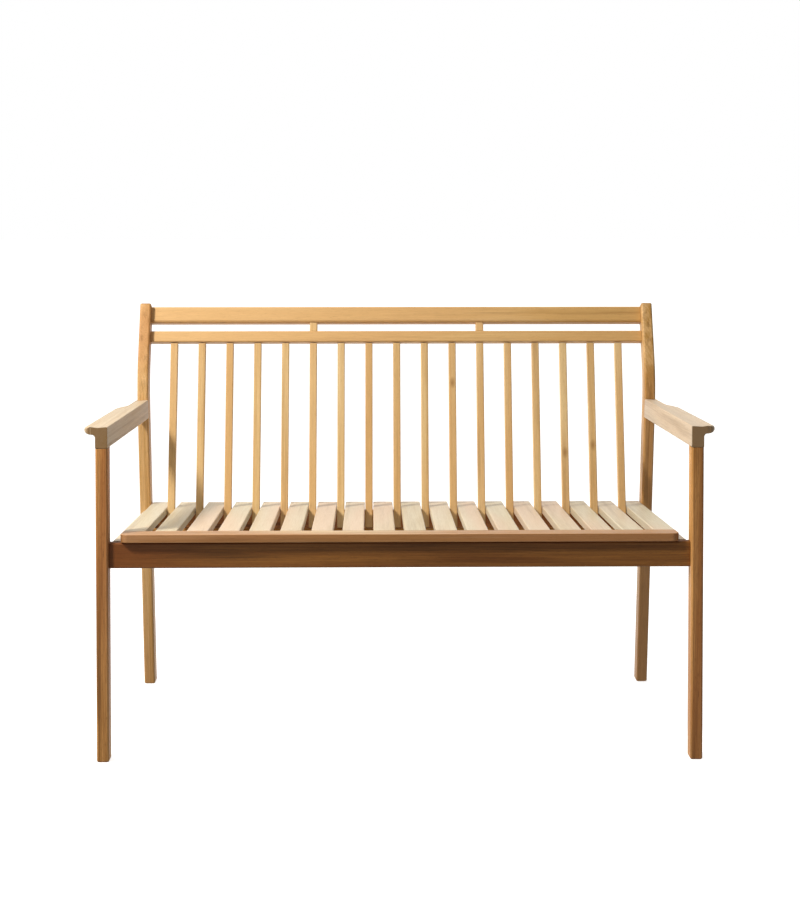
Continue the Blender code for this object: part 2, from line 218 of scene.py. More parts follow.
def teak(name, pale, warm, dark, blush, figure, roughness):
    """Planed and sanded teak with a thin oil.

    To the eye: a golden brown ground with soft darker streaks that run the length of the
    board, faint growth rings, short open pores that catch shadow, darker end grain, and a
    low satin gleam along the fibres.  Blush is the pinker cast that some boards have, and
    figure is how strongly the streaks and rings show.
    """
    made = bpy.data.materials.new(name)
    made.use_nodes = True
    tree = made.node_tree
    shader = tree.nodes["Principled BSDF"]
    add = partial(node, tree)
    place = add("ShaderNodeAttribute", out="Vector", attribute_name="grain")
    tone = add("ShaderNodeAttribute", out="Fac", attribute_name="tone")
    ends = add("ShaderNodeAttribute", out="Fac", attribute_name="endgrain")
    knot = add("ShaderNodeAttribute", out="Vector", attribute_name="knot")

    # Patterns per metre along the board and across it, with their detail and roughness.
    # Streaks are some 12 mm wide and 400 mm long, clouds of tone 60 mm wide.  Fibres, drawn
    # 1.2 mm apart, and pores, short dashes 0.8 mm wide, are both coarser than in real teak, so
    # that they still show.
    patterns = {
        "bend": (2.2, 14.0, 2.0, 0.5),
        "streaks": (2.4, 85.0, 3.0, 0.55),
        "clouds": (3.5, 16.0, 2.0, 0.5),
        "fibres": (22.0, 820.0, 2.0, 0.6),
        "pores": (90.0, 1250.0, 1.0, 0.5),
        "blush": (1.1, 7.0, 1.0, 0.5),
        "dark streaks": (1.7, 60.0, 4.0, 0.6),
    }
    drawn = {}
    for label, (lengthwise, crosswise, detail, rough) in patterns.items():
        stretched = add("ShaderNodeVectorMath",
                        {0: place, 1: (lengthwise, crosswise, crosswise)}, out="Vector",
                        operation="MULTIPLY")
        drawn[label] = add("ShaderNodeTexNoise",
                           {"Vector": stretched, "Scale": 1.0, "Detail": detail,
                            "Roughness": rough})

    # Growth rings 4.5 mm apart round a pith that lies outside the board, bent by a slow wander
    # of up to 8 mm, so that flat-sawn faces show long arches.
    bent = add("ShaderNodeVectorMath",
               {0: drawn["bend"].outputs["Color"], 1: (0.0, 0.016, 0.016), 2: place},
               out="Vector", operation="MULTIPLY_ADD")
    bent = add("ShaderNodeVectorMath", {0: bent, 1: (0.05, 1.0, 1.0)}, out="Vector",
               operation="MULTIPLY")
    rings = add("ShaderNodeTexWave",
                {"Vector": bent, "Scale": 0.314 / 0.0045, "Distortion": 0.8, "Detail": 2.0,
                 "Detail Scale": 1.5},
                out="Fac", wave_type="RINGS", rings_direction="X", wave_profile="SAW")
    level = {label: pattern.outputs[0] for label, pattern in drawn.items()}

    # How far each spot lies from the pale ground towards the warm one.
    body = tone
    for pattern, low, high, least, most in (
            (level["streaks"], 0.34, 0.68, 0.0, 0.9 * figure),
            (rings, 0.0, 1.0, 0.0, 0.34 * figure),
            (level["clouds"], 0.35, 0.65, -0.10, 0.16)):
        share = add("ShaderNodeMapRange",
                    {"Value": pattern, "From Min": low, "From Max": high,
                     "To Min": least, "To Max": most}, out="Result")
        body = add("ShaderNodeMath", {0: body, 1: share}, out=0, operation="ADD")
    colour = add("ShaderNodeMix", {0: body, 6: linear(pale), 7: linear(warm)}, out=2,
                 data_type="RGBA")

    # A pin knot 7 mm across with a paler halo drawn out along the grain.
    apart = add("ShaderNodeVectorMath", {0: place, 1: knot}, out="Vector", operation="SUBTRACT")
    apart = add("ShaderNodeVectorMath", {0: apart, 1: (0.5, 1.0, 1.0)}, out="Vector",
                operation="MULTIPLY")
    apart = add("ShaderNodeVectorMath", {0: apart}, out="Value", operation="LENGTH")

    # Laid over the ground in turn: the pinker cast, darker streaks, fibres, pores, end grain
    # and the knot.
    for pattern, low, high, most, shade in (
            (level["blush"], 0.42, 0.60, 0.8, blush),
            (level["dark streaks"], 0.55, 0.74, 0.9 * figure, dark),
            (level["fibres"], 0.35, 0.70, 0.3 * figure, dark),
            (level["pores"], 0.62, 0.72, 0.4 * figure, dark),
            (ends, 0.15, 0.9, 0.82, dark),
            (apart, 0.0075, 0.002, 0.7, dark)):
        share = add("ShaderNodeMapRange",
                    {"Value": pattern, "From Min": low, "From Max": high,
                     "To Min": 0.0, "To Max": most}, out="Result")
        colour = add("ShaderNodeMix", {0: share, 6: colour, 7: linear(shade)}, out=2,
                     data_type="RGBA")
    tree.links.new(colour, shader.inputs["Base Color"])

    # Fibres are a little rougher than the wood between them, and stand up; pores sink.
    gleam, raised, sunk = (
        add("ShaderNodeMapRange",
            {"Value": level[label], "From Min": low, "From Max": high,
             "To Min": least, "To Max": most}, out="Result")
        for label, low, high, least, most in (
            ("fibres", 0.3, 0.7, roughness - 0.05, roughness + 0.06),
            ("fibres", 0.3, 0.7, 0.0, 0.5),
            ("pores", 0.60, 0.72, 0.0, -1.0)))
    tree.links.new(gleam, shader.inputs["Roughness"])
    shader.inputs["Specular IOR Level"].default_value = 0.22
    relief = add("ShaderNodeMath", {0: raised, 1: sunk}, out=0, operation="ADD")
    bump = add("ShaderNodeBump", {"Height": relief, "Strength": 0.35, "Distance": 0.0002},
               out="Normal")
    tree.links.new(bump, shader.inputs["Normal"])
    return made


def stainless(name):
    """Satin stainless steel: bright grey, its gleam broken up by fine tumbling marks."""
    made = bpy.data.materials.new(name)
    made.use_nodes = True
    tree = made.node_tree
    shader = tree.nodes["Principled BSDF"]
    add = partial(node, tree)
    place = add("ShaderNodeTexCoord", out="Object")
    # Tumbling marks about 1 mm across.
    marks = add("ShaderNodeTexNoise", {"Vector": place, "Scale": 900.0, "Detail": 2.0}, out=0)
    worn = add("ShaderNodeMapRange",
               {"Value": marks, "From Min": 0.3, "From Max": 0.7,
                "To Min": 0.26, "To Max": 0.42}, out="Result")
    colour = add("ShaderNodeMix", {0: marks, 6: linear("#b9b8b4"), 7: linear("#d4d3cf")}, out=2,
                 data_type="RGBA")
    tree.links.new(colour, shader.inputs["Base Color"])
    tree.links.new(worn, shader.inputs["Roughness"])
    shader.inputs["Metallic"].default_value = 1.0
    return made


# Pale, warm, dark and pinker tones, then figure and roughness.
TEAK = {
    # Russet, the most strongly streaked.
    "leg": teak("oiled_teak_legs", "#eeb46a", "#ad7535", "#57320f", "#b4713e", 1.10, 0.52),
    # Honey brown with soft streaks.
    "post": teak("oiled_teak_posts", "#f2c88e", "#c29350", "#774d22", "#c68f57", 0.80, 0.46),
    # The darkest board, olive brown and dull: partly its own darker wood, partly painted shade for
    # the shadow it lies in under the strip and the seat.
    "apron": teak("oiled_teak_apron", "#a26b2c", "#6f4113", "#341c04", "#804719", 0.85, 0.60),
    # Cream and pinkish boards, sanded smooth; their pale greyed cream is partly the wood's own colour
    # and partly painted sheen for the white gleam across the tops.
    "seat": teak("sanded_teak_seat", "#d5cbb1", "#c3ae89", "#937954", "#d8bea4", 0.40, 0.42),
    # A warm brown edge under a paler top; the paler top is painted light and the darker edge painted
    # shade.
    "strip": teak("oiled_teak_strip", "#e2cba2", "#a6753e", "#6c4621", "#af7a4d", 0.70, 0.42),
    # Bright gold, the cleanest grain.
    "back": teak("oiled_teak_back", "#f0d39f", "#d2a768", "#976a37", "#dcb077", 0.60, 0.42),
    # Pale and silky, with umber end grain; the pale grey cream is partly the wood's own colour and
    # partly painted sheen.
    "arm": teak("sanded_teak_arm", "#d1c4af", "#bba380", "#7c592a", "#d6bfa2", 0.55, 0.44),
}
STEEL = stainless("satin_stainless_steel")


# ---- making boards --------------------------------------------------------------------------

def rounded_outline(corners, radii, steps=EASE_STEPS):
    """Points round a closed outline, each corner turned into an arc of its own radius."""
    points = []
    count = len(corners)
    for i, corner in enumerate(corners):
        here = Vector(corner)
        before = Vector(corners[i - 1]) - here
        after = Vector(corners[(i + 1) % count]) - here
        half = before.angle(after) / 2
        reach = min(radii[i] / math.tan(half), 0.48 * before.length, 0.48 * after.length)
        start = here + before.normalized() * reach
        end = here + after.normalized() * reach
        centre = here + (before.normalized() + after.normalized()).normalized() * (
            reach / math.cos(half))
        for k in range(steps + 1):
            t = k / steps
            swing = (start - centre).lerp(end - centre, t)
            points.append(centre + swing.normalized() * (start - centre).length)
    return points


def inset(outline, distance):
    """An outline drawn in by a distance, square to its edges."""
    if distance <= 0:
        return list(outline)
    area = sum(a.x * b.y - b.x * a.y for a, b in zip(outline, outline[1:] + outline[:1]))
    sign = 1 if area > 0 else -1
    moved = []
    for i, here in enumerate(outline):
        first = (here - outline[i - 1]).normalized()
        second = (outline[(i + 1) % len(outline)] - here).normalized()
        normal = Vector((-first.y - second.y, first.x + second.x)) * sign
        scale = max(1 + first.dot(second), 0.5)
        moved.append(here + normal * (distance / scale))
    return moved


def rectangle(width, depth, radius, low_radius=None):
    """A board's cross-section, centred, with rounded corners; the low ones may be rounder."""
    x, y = width / 2, depth / 2
    low = low_radius or radius
    return rounded_outline([(-x, -y), (x, -y), (x, y), (-x, y)], [low, radius, radius, low])


def station(outline, origin, across, up, along):
    """One cross-section of a board: its outline, and the place and directions it lies in."""
    return {"outline": outline, "origin": Vector(origin), "across": Vector(across),
            "up": Vector(up), "along": along}


def with_eased_ends(stations, first_ease, last_ease, first_way, last_way):
    """The stations, with the end edges rounded by rings that draw in towards each end."""
    ringed = []
    for ease, end, way, sign in ((first_ease, stations[0], first_way, 1),
                                 (last_ease, stations[-1], last_way, -1)):
        rings = []
        for k in range(EASE_STEPS + 1):
            turn = math.pi / 2 * k / EASE_STEPS
            ring = dict(end)
            ring["outline"] = inset(end["outline"], ease * (1 - math.sin(turn)))
            step = ease * (1 - math.cos(turn)) * sign
            ring["origin"] = end["origin"] + Vector(way) * step
            ring["along"] = end["along"] + step
            rings.append(ring)
        ringed.append(rings)
    return ringed[0] + stations[1:-1] + ringed[1][::-1]


def board(name, stations, surface, tone):
    """Loft a board through its stations and record how its grain lies.

    The tone is how dark the wood is, at the board's two ends.
    """
    shift = Vector((chance.uniform(-4, 4), chance.uniform(0.03, 0.12), chance.uniform(0.03, 0.12)))
    bm = bmesh.new()
    grain = bm.verts.layers.float_vector.new("grain")
    tones = bm.verts.layers.float.new("tone")
    knots = bm.verts.layers.float_vector.new("knot")
    ends = bm.faces.layers.float.new("endgrain")
    length = stations[-1]["along"] - stations[0]["along"]
    rings = []
    for place in stations:
        ring = []
        for point in place["outline"]:
            spot = place["origin"] + place["across"] * point.x + place["up"] * point.y
            vert = bm.verts.new(spot)
            vert[grain] = Vector((place["along"], point.x, point.y)) + shift
            part = (place["along"] - stations[0]["along"]) / length
            vert[tones] = tone[0] + (tone[1] - tone[0]) * part
            vert[knots] = FAR_OFF
            ring.append(vert)
        rings.append(ring)
    bm.faces.new(rings[0])
    bm.faces.new(rings[-1])
    count = len(rings[0])
    for near, far in zip(rings, rings[1:]):
        for i in range(count):
            j = (i + 1) % count
            bm.faces.new((near[i], near[j], far[j], far[i]))
    bmesh.ops.recalc_face_normals(bm, faces=bm.faces)
    way = (stations[-1]["origin"] - stations[0]["origin"]).normalized()
    for face in bm.faces:
        face[ends] = abs(face.normal.dot(way)) ** 2.5
    return finished(name, bm, surface)


def finished(name, bm, surface):
    """Turn a mesh in the making into a smooth-shaded piece whose flats stay flat."""
    mesh = bpy.data.meshes.new(name)
    bm.to_mesh(mesh)
    bm.free()
    mesh.materials.append(surface)
    piece = bpy.data.objects.new(name, mesh)
    bpy.context.collection.objects.link(piece)
    return smoothed(piece)


def smoothed(piece):
    piece.data.polygons.foreach_set("use_smooth", [True] * len(piece.data.polygons))
    weighted = piece.modifiers.new("flat_faces_first", "WEIGHTED_NORMAL")
    weighted.mode = "FACE_AREA_WITH_ANGLE"
    weighted.weight = 90
    return plain(piece)


def plain(piece):
    """Replace a piece's mesh with what its modifiers make of it, and clear them."""
    graph = bpy.context.evaluated_depsgraph_get()
    baked = bpy.data.meshes.new_from_object(
        piece.evaluated_get(graph), preserve_all_data_layers=True, depsgraph=graph)
    old = piece.data
    piece.modifiers.clear()
    piece.data = baked
    bpy.data.meshes.remove(old)
    baked.name = piece.name
    return piece


def settle(piece, slot, *nodes):
    """Hand a finished piece to the frame in place of its CAD nodes."""
    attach(piece, "root")
    if nodes:
        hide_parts(*nodes)


def extent(node_name, axes):
    """A CAD node's low and high corners along the three directions of its own axes."""
    turned = [axes.transposed() @ v.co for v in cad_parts[node_name].data.vertices]
    low = Vector([min(p[i] for p in turned) for i in range(3)])
    high = Vector([max(p[i] for p in turned) for i in range(3)])
    return low, high


def straight_board(name, axes, kind, tone, ease=EASED, ends=(SAWN_END, SAWN_END),
                   low_ease=None):
    """A straight board in the place of the CAD node of the same name."""
    low, high = extent(name, axes)
    middle = (low + high) / 2
    size = high - low
    way = axes.col[0]
    outline = rectangle(size.y, size.z, ease, low_ease)
    stations = []
    for x in (low.x, high.x):
        origin = axes @ Vector((x, middle.y, middle.z))
        stations.append(station(outline, origin, axes.col[1], axes.col[2], x - low.x))
    stations = with_eased_ends(stations, *ends, way, way)
    return board(name, stations, TEAK[kind], tone)


# ---- legs, rails and strip ------------------------------------------------------------------

def bore(piece, x, y, z, radius, depth):
    """Drill a round hole across a piece, from x inwards, and give its wall the board's grain."""
    bm = bmesh.new()
    bmesh.ops.create_cone(bm, cap_ends=True, segments=32, radius1=radius, radius2=radius,
                          depth=2 * depth,
                          matrix=Matrix.Translation((x, y, z)) @ Matrix.Rotation(math.pi / 2, 4, "Y"))
    mesh = bpy.data.meshes.new("drill")
    bm.to_mesh(mesh)
    bm.free()
    drill = bpy.data.objects.new("drill", mesh)
    bpy.context.collection.objects.link(drill)
    hole = piece.modifiers.new("hole", "BOOLEAN")
    hole.operation = "DIFFERENCE"
    hole.object = drill
    plain(piece)
    bpy.data.objects.remove(drill)
    bpy.data.meshes.remove(mesh)


def regrain(piece, where, tone_at):
    """Work out a piece's grain and tone afresh from its shape, after it has been drilled."""
    shift = Vector((chance.uniform(-3, 3), 0.07, 0.04))
    layers = [piece.data.attributes[name].data for name in ("grain", "tone", "knot")]
    for vert, grain, tone, knot in zip(piece.data.vertices, *layers):
        grain.vector = where(vert.co) + shift
        tone.value = tone_at(vert.co)
        knot.vector = FAR_OFF


def make_straight_boards():
    for side in ("left", "right"):
        # The right leg is toned darker than the left: painted shade for the key light falling off
        # towards the right.
        tone = {"left": (0.0, 0.15), "right": (0.15, 0.3)}[side]
        name = "front_leg_" + side
        leg = straight_board(name, UPRIGHT, "leg", tone, LEG_EASED, (FOOT_EASED, SAWN_END))
        low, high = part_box("front_bolt_" + side)
        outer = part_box(name)[0].x if side == "left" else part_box(name)[1].x
        bore(leg, outer, (low.y + high.y) / 2, (low.z + high.z) / 2,
             BOLT_HOLE_RADIUS, BOLT_HOLE_DEPTH)
        middle = (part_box(name)[0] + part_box(name)[1]) / 2
        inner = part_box(name)[1].x if side == "left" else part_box(name)[0].x

        def tone_at(p):
            """The inner face is painted paler: painted light and sheen on that face."""
            inner_face_painted_sheen = 0.6 if abs(p.x - inner) < LEG_EASED * 0.7 else 0.0
            return tone[0] + (tone[1] - tone[0]) * p.z / ARM_UNDERSIDE - inner_face_painted_sheen

        regrain(leg, lambda p: Vector((p.z, p.x - middle.x, p.y - middle.y)), tone_at)
        settle(smoothed(leg), "teak_frame", name)
    rails = (
        ("front_apron", CROSSWISE, "apron", "teak_frame", (0.1, 0.1)),
        ("seat_front_bearer", SEAT_AXES, "apron", "teak_frame", (0.0, 0.0)),
        ("seat_middle_bearer", SEAT_AXES, "apron", "teak_frame", (0.1, 0.1)),
        ("spindle_rail", SEAT_AXES, "leg", "teak_frame", (0.0, 0.0)),
        ("seat_rear_rail", SEAT_AXES, "leg", "teak_frame", (0.1, 0.1)),
        ("seat_side_rail_left", ALONG_SEAT_AXES, "seat", "teak_frame", (0.0, 0.0)),
        ("seat_side_rail_right", ALONG_SEAT_AXES, "seat", "teak_frame", (0.1, 0.1)),
        # The crest and back rails darken towards their right ends: painted shade for the key light
        # falling off towards the right.
        ("crest_rail", BACK_AXES, "back", "teak_back", (0.0, 0.75)),
        ("back_rail", BACK_AXES, "back", "teak_back", (0.05, 0.65)),
    )
    for name, axes, kind, slot, tone in rails:
        low_ease = CREST_UNDER_EASED if name == "crest_rail" else None
        settle(straight_board(name, axes, kind, tone, low_ease=low_ease), slot, name)
    for name in ("back_spacer_1", "back_spacer_2"):
        axes = Matrix((BACK_AXES.col[1], BACK_AXES.col[2], BACK_AXES.col[0])).transposed()
        piece = straight_board(name, axes, "back", (0.0, 0.0), SPINDLE_EASED)
        settle(piece, "teak_back", name)


def make_strip():
    """The cross strip along the front of the seat, its front corners rounded in plan."""
    name = "seat_front_strip"
    low, high = extent(name, SEAT_AXES)
    half = (high.x - low.x) / 2
    depth = high.z - low.z
    outline = rounded_outline([(-half, 0), (half, 0), (half, depth), (-half, depth)],
                              [STRIP_CORNER, STRIP_CORNER, STRIP_REAR_CORNER, STRIP_REAR_CORNER], 8)
    painted_light_top, front = -0.6, 0.55          # tones: the top painted paler as painted light, the edge darker as painted shade
    shift = Vector((0.3, 0.09, 0.05))
    bm = bmesh.new()
    rings = []
    grain = bm.verts.layers.float_vector.new("grain")
    tones = bm.verts.layers.float.new("tone")
    knots = bm.verts.layers.float_vector.new("knot")
    ends = bm.faces.layers.float.new("endgrain")
    levels = []
    for sign, face in ((1, low.y), (-1, high.y)):
        arc = []
        for k in range(EASE_STEPS + 1):
            turn = math.pi / 2 * k / EASE_STEPS
            arc.append((STRIP_EASED * (1 - math.sin(turn)),
                        face + sign * STRIP_EASED * (1 - math.cos(turn))))
        levels += arc if sign > 0 else arc[::-1]
    for drawn_in, height in levels:
        ring = []
        for point in inset(outline, drawn_in):
            vert = bm.verts.new(SEAT_AXES @ Vector((point.x, height, low.z + point.y)))
            vert[grain] = Vector((point.x, point.y, height)) + shift
            vert[tones] = painted_light_top if height > high.y - STRIP_EASED / 3 else front
            vert[knots] = FAR_OFF
            ring.append(vert)
        rings.append(ring)
    bm.faces.new(rings[0])
    bm.faces.new(rings[-1])
    count = len(outline)
    for near, far in zip(rings, rings[1:]):
        for i in range(count):
            j = (i + 1) % count
            bm.faces.new((near[i], near[j], far[j], far[i]))
    bmesh.ops.recalc_face_normals(bm, faces=bm.faces)
    for face in bm.faces:
        face[ends] = min(abs(face.normal.x) ** 3, 1.0)
    settle(finished(name, bm, TEAK["strip"]), "teak_seat", name)


# ---- back posts -----------------------------------------------------------------------------

def make_back_post(side, word):
    """A post sawn from a wide plank: raked below, eased round its bend, leaning above."""
    name = "back_post_" + word
    low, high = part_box(name)
    middle_x = (low.x + high.x) / 2
    width = high.x - low.x
    lower = Vector((0, -math.sin(POST_RAKE), math.cos(POST_RAKE)))
    upper = Vector((0, math.sin(BACK_LEAN), math.cos(BACK_LEAN)))
    bend = Vector((middle_x, FRONT_Y + BEND_SETBACK, BEND_HEIGHT))
    across = Vector((side, 0, 0))
    outline = [p + Vector((0, POST_DEPTH / 2)) for p in rectangle(width, POST_DEPTH, LEG_EASED)]
    foot = Vector((middle_x, FRONT_Y + FOOT_SETBACK, 0))
    below = (bend - foot).length
    stations = [station(outline, foot, across, (0, 1 / math.cos(POST_RAKE), 0), 0)]
    steps = 14
    for i in range(steps + 1):
        t = i / steps
        place = bend - lower * BEND_EASE * (1 - t) ** 2 + upper * BEND_EASE * t ** 2
        way = (lower * (1 - t) + upper * t).normalized()
        along = below + BEND_EASE * (2 * t - 1)
        stations.append(station(outline, place, across, (0, way.z, -way.y), along))
    stations.append(station(outline, bend + upper * POST_UPPER, across,
                            (0, upper.z, -upper.y), below + POST_UPPER))
    stations = with_eased_ends(stations, FOOT_EASED, EASED, lower, upper)
    # The right post is toned darker than the left, most of all at its foot: painted shade on the side
    # away from the key light.
    tone = (0.1, 0.0) if side < 0 else (0.45, 0.1)
    post = board(name, stations, TEAK["post"], tone)
    bolt_low, bolt_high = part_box("rear_bolt_" + word)
    outer = low.x if side < 0 else high.x
    bore(post, outer, (bolt_low.y + bolt_high.y) / 2, (bolt_low.z + bolt_high.z) / 2,
         BOLT_HOLE_RADIUS, BOLT_HOLE_DEPTH)

    def where(p):
        front = FRONT_Y + FOOT_SETBACK - math.tan(POST_RAKE) * p.z
        return Vector((p.z / math.cos(POST_RAKE), p.x - middle_x, p.y - front))

    regrain(post, where, lambda p: tone[0] + (tone[1] - tone[0]) * p.z / high.z)
    settle(smoothed(post), "teak_frame", name)


# ---- arms -----------------------------------------------------------------------------------

def lip_width(y):
    """Overhang of the arm's lip behind the front: a round nose, broad, then a soft S."""
    straight = LIP_FRONT + (LIP_REAR - LIP_FRONT) * min(y / LIP_TURN_START, 1)
    if y < NOSE:
        straight -= NOSE - math.sqrt(NOSE ** 2 - (NOSE - y) ** 2)
    t = min(max((y - LIP_TURN_START) / (LIP_TURN_END - LIP_TURN_START), 0), 1)
    ease = t * t * (3 - 2 * t)
    return straight * (1 - ease) + LIP_LEAST * ease


def arm_outline(y):
    """Section of the arm as (out from its inner face, up from its underside)."""
    lip = lip_width(y)
    part = lip / LIP_FRONT
    tip = ARM_WIDTH + lip
    lip_top = ARM_HEIGHT + LIP_RISE * part
    lip_low = lip_top - LIP_THICKNESS
    corners = [
        (0, 0), (ARM_WIDTH, 0),
        (ARM_WIDTH, lip_low), (tip, lip_low), (tip, lip_top),
        (ARM_WIDTH + 0.35 * lip, ARM_HEIGHT - DISH * 0.5 * part),
        (ARM_WIDTH * 0.85, ARM_HEIGHT - DISH),
        (ARM_WIDTH * 0.25, ARM_HEIGHT - 0.0003),
        (0, ARM_HEIGHT),
    ]
    radii = [0.002, 0.0015, COVE * part + 0.0003, 0.0078 * part + 0.0002,
             0.0050 * part + 0.0020, 0.05, 0.05, 0.05, 0.0022]
    return rounded_outline(corners, radii, 6)


def make_arm(side, word):
    """A moulded arm: a square inner edge, a dished top and a lip rolled over a cove."""
    inner_front = abs(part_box("front_leg_left")[1].x)
    inner_rear = abs(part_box("back_post_left")[1].x)
    stations = []
    places = [NOSE * (1 - math.cos(math.pi / 2 * i / 8)) for i in range(9)]
    places += [0.06, 0.1, 0.2, 0.28]
    places += [LIP_TURN_START + (LIP_TURN_END - LIP_TURN_START) * i / 14 for i in range(15)]
    places.append(0.40)
    for y in places:
        inner = inner_front + (inner_rear - inner_front) * y / BEND_SETBACK
        origin = (side * inner, FRONT_Y + y, ARM_UNDERSIDE)
        stations.append(station(arm_outline(y), origin, (side, 0, 0), (0, 0, 1), y))
    rear_y = FRONT_Y + FOOT_SETBACK - math.tan(POST_RAKE) * ARM_UNDERSIDE - JOINT_GAP * 1.2
    stations.append(station(arm_outline(BEND_SETBACK), (side * inner_rear, rear_y, ARM_UNDERSIDE),
                            (side, 0, 0), (0, -math.tan(POST_RAKE), 1), BEND_SETBACK))
    back = Vector((0, 1, 0))
    stations = with_eased_ends(stations, ARM_END_EASED, SAWN_END, back, back)
    arm = board("arm_" + word, stations, TEAK["arm"],
                (0.4, 0.2) if side < 0 else (-0.3, -0.3))
    settle(arm, "teak_arm", "arm_" + word)


# ---- rows of slats and spindles -------------------------------------------------------------

def tree_with_inputs(name, inputs):
    """A Geometry Nodes tree with named inputs; returns it and the sockets' identifiers."""
    tree = bpy.data.node_groups.new(name, "GeometryNodeTree")
    tree.interface.new_socket(name="Geometry", in_out="INPUT", socket_type="NodeSocketGeometry")
    tree.interface.new_socket(name="Geometry", in_out="OUTPUT", socket_type="NodeSocketGeometry")
    keys = {}
    for label, kind in inputs:
        socket = tree.interface.new_socket(name=label, in_out="INPUT",
                                           socket_type="NodeSocket" + kind)
        keys[label] = socket.identifier
    return tree, keys


def row_of_boards():
    """A row of equal boards with rounded edges, each with its own tone and piece of grain."""
    tree, keys = tree_with_inputs("row_of_boards", (
        ("Boards", "Int"), ("Pitch", "Float"), ("Half Size", "Vector"), ("Eased", "Float"),
        ("Foot Cut", "Float"), ("Head Cut", "Float"), ("First Place", "Vector"),
        ("Turn", "Vector"), ("Tone Spread", "Float"), ("Seed", "Int"), ("Wood", "Material"),
    ))
    add = partial(node, tree)
    given = add("NodeGroupInput").outputs
    points = 6
    flat = 1 / (points - 1)

    # A cube's grid of points, gathered at the edges and swung round them.
    cube = add("GeometryNodeMeshCube",
               {"Size": (2, 2, 2), "Vertices X": points, "Vertices Y": points,
                "Vertices Z": points}, out="Mesh")
    position = add("GeometryNodeInputPosition", out="Position")
    sign = add("ShaderNodeVectorMath", {0: position}, out="Vector", operation="SIGN")
    reach = add("ShaderNodeVectorMath", {0: position}, out="Vector", operation="ABSOLUTE")
    reach = add("ShaderNodeVectorMath", {0: reach, 1: (flat, flat, flat)}, out="Vector",
                operation="SUBTRACT")
    reach = add("ShaderNodeVectorMath", {0: reach, "Scale": 1 / (1 - flat)}, out="Vector",
                operation="SCALE")
    reach = add("ShaderNodeVectorMath", {0: reach, 1: (0, 0, 0)}, out="Vector",
                operation="MAXIMUM")
    swing = add("ShaderNodeVectorMath", {0: sign, 1: reach}, out="Vector", operation="MULTIPLY")
    swing = add("ShaderNodeVectorMath", {0: swing}, out="Vector", operation="NORMALIZE")
    swing = add("ShaderNodeVectorMath", {0: swing, "Scale": given["Eased"]}, out="Vector",
                operation="SCALE")
    eased = add("ShaderNodeCombineXYZ",
                {0: given["Eased"], 1: given["Eased"], 2: given["Eased"]}, out="Vector")
    core = add("ShaderNodeVectorMath", {0: given["Half Size"], 1: eased}, out="Vector",
               operation="SUBTRACT")
    core = add("ShaderNodeVectorMath", {0: sign, 1: core}, out="Vector", operation="MULTIPLY")
    rounded = add("ShaderNodeVectorMath", {0: core, 1: swing}, out="Vector", operation="ADD")
    # Ends cut on the slope of the rail that each meets.
    along = add("ShaderNodeSeparateXYZ", {0: position}, out="X")
    at_head = add("ShaderNodeMath", {0: along, 1: 0.0}, out=0, operation="GREATER_THAN")
    slope = add("ShaderNodeMix", {0: at_head, 2: given["Foot Cut"], 3: given["Head Cut"]}, out=0)
    depth = add("ShaderNodeSeparateXYZ", {0: rounded}, out="Z")
    slid = add("ShaderNodeMath", {0: depth, 1: slope}, out=0, operation="MULTIPLY")
    slid = add("ShaderNodeCombineXYZ", {0: slid}, out=0)
    cut = add("ShaderNodeVectorMath", {0: rounded, 1: slid}, out="Vector", operation="ADD")
    shape = add("GeometryNodeSetPosition", {"Geometry": cube, "Position": cut}, out=0)
    placed = add("GeometryNodeInputPosition", out="Position")
    shape = add("GeometryNodeStoreNamedAttribute",
                {"Geometry": shape, "Name": "grain", "Value": placed}, out=0,
                data_type="FLOAT_VECTOR", domain="POINT")
    normal = add("GeometryNodeInputNormal", out=0)
    facing = add("ShaderNodeSeparateXYZ", {0: normal}, out="X")
    facing = add("ShaderNodeMath", {0: facing}, out=0, operation="ABSOLUTE")
    square = add("ShaderNodeMath", {0: facing, 1: 3.0}, out=0, operation="POWER")
    shape = add("GeometryNodeStoreNamedAttribute",
                {"Geometry": shape, "Name": "endgrain", "Value": square}, out=0,
                data_type="FLOAT", domain="FACE")

    pitch = add("ShaderNodeCombineXYZ", {0: given["Pitch"]}, out="Vector")
    line = add("GeometryNodeMeshLine",
               {"Count": given["Boards"], "Start Location": given["First Place"],
                "Offset": pitch}, out="Mesh")
    turn = add("FunctionNodeEulerToRotation", {0: given["Turn"]}, out=0)
    row = add("GeometryNodeInstanceOnPoints",
              {"Points": line, "Instance": shape, "Rotation": turn}, out=0)
    spread = given["Tone Spread"]
    palest = add("ShaderNodeMath", {0: spread, 1: -1.0}, out=0, operation="MULTIPLY")
    tone = add("FunctionNodeRandomValue", {2: palest, 3: spread, "Seed": given["Seed"]}, out=1,
               data_type="FLOAT")
    row = add("GeometryNodeStoreNamedAttribute",
              {"Geometry": row, "Name": "tone", "Value": tone}, out=0,
              data_type="FLOAT", domain="INSTANCE")
    shift = add("FunctionNodeRandomValue",
                {0: (-4.0, 0.03, 0.03), 1: (4.0, 0.12, 0.12), "Seed": given["Seed"]}, out=0,
                data_type="FLOAT_VECTOR")
    row = add("GeometryNodeStoreNamedAttribute",
              {"Geometry": row, "Name": "shift", "Value": shift}, out=0,
              data_type="FLOAT_VECTOR", domain="INSTANCE")
    solid = add("GeometryNodeRealizeInstances", {"Geometry": row}, out=0)
    local, moved = (
        add("GeometryNodeInputNamedAttribute", {"Name": label}, out=0, data_type="FLOAT_VECTOR")
        for label in ("grain", "shift"))
    grain = add("ShaderNodeVectorMath", {0: local, 1: moved}, out="Vector", operation="ADD")
    solid = add("GeometryNodeStoreNamedAttribute",
                {"Geometry": solid, "Name": "grain", "Value": grain}, out=0,
                data_type="FLOAT_VECTOR", domain="POINT")
    painted = add("GeometryNodeSetMaterial",
                  {"Geometry": solid, "Material": given["Wood"]}, out=0)
    add("NodeGroupOutput", {"Geometry": painted})
    return tree, keys


